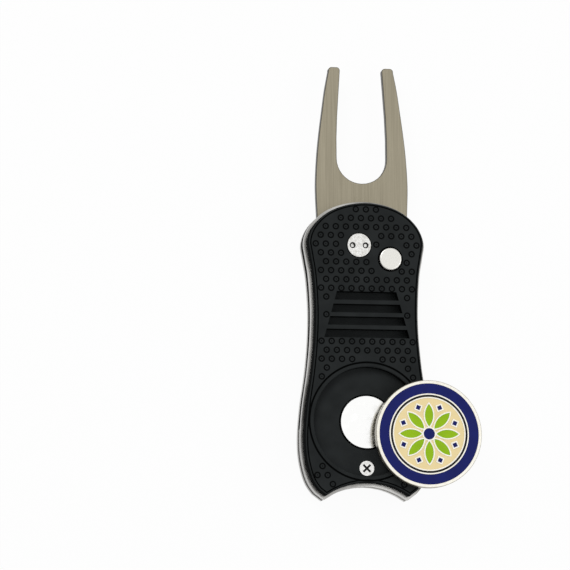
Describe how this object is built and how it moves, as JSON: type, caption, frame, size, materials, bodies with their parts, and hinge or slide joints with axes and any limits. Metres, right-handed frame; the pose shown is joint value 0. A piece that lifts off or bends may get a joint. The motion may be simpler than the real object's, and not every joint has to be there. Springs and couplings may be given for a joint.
{
  "type": "divot repair tool",
  "caption": "Folding golf divot repair tool: a two-pronged fork that turns into a slim handle, a release button, and a magnetic seat with a round ball marker.",
  "frame": {"origin": "on the back face of the handle, on the axis of the round marker seat", "axes": "+Z out of the front face, +Y along the handle towards the open fork, +X to the right seen from the front"},
  "size_m": [0.0426, 0.1044, 0.0127],
  "materials": {
    "cover_black": "matt black moulded cover",
    "frame_steel": "polished steel liner, bright edges",
    "spacer_steel": "satin steel spacer",
    "steel": "plain machined steel",
    "fork_satin": "satin steel, brushed along its length",
    "spring_steel": "tempered spring steel",
    "rivet_nickel": "bright nickel, lightly pitted",
    "bronze": "plain bronze",
    "button_nickel": "pale satin nickel",
    "magnet_nickel": "bright nickel plating",
    "screw_nickel": "nickel plated steel",
    "marker_metal": "nickel plated, struck lines",
    "enamel_navy": "navy soft enamel",
    "enamel_black": "black soft enamel",
    "enamel_cream": "cream soft enamel",
    "enamel_green": "bright green soft enamel"
  },
  "bodies": {
    "handle": {"front_cover": "cover_black", "back_cover": "cover_black", "front_liner": "frame_steel", "back_liner": "frame_steel", "frame_spacer": "spacer_steel", "frame_rivets": "steel", "locating_pins": "steel", "fork_spring": "spring_steel", "pivot_bolt": "rivet_nickel", "pivot_nut": "rivet_nickel", "pivot_bush": "bronze", "pivot_washers": "bronze", "button_spring": "spring_steel", "magnet": "magnet_nickel", "case_screw": "screw_nickel", "case_insert": "bronze"},
    "fork": {"fork": "fork_satin"},
    "button": {"button_cap": "button_nickel", "lock_plunger": "steel"},
    "marker": {"marker_coin": "marker_metal", "marker_rim_enamel": "enamel_navy", "marker_groove_enamel": "enamel_black", "marker_field_enamel": "enamel_cream", "marker_petal_enamel": "enamel_green", "marker_diamond_enamel": "enamel_navy", "marker_hub_enamel": "enamel_navy"}
  },
  "joints": [
    {"name": "fork_fold", "type": "hinge", "parent": "handle", "child": "fork", "pos_m": [-0.0017, 0.042, 0.005], "axis": [0, 0, 1], "range_deg": [0, 180], "stiffness_Nm_per_rad": 0.01, "springref_deg": -28.65},
    {"name": "button_press", "type": "slide", "parent": "handle", "child": "button", "axis": [0, 0, -1], "range_m": [0, 0.0012], "stiffness_N_per_m": 300, "springref_m": -0.002, "deforming": ["button_spring"]},
    {"name": "marker_slide", "type": "slide", "parent": "handle", "child": "marker", "axis": [-0.9784, 0.2067, 0], "range_m": [0, 0.0145]}
  ]
}
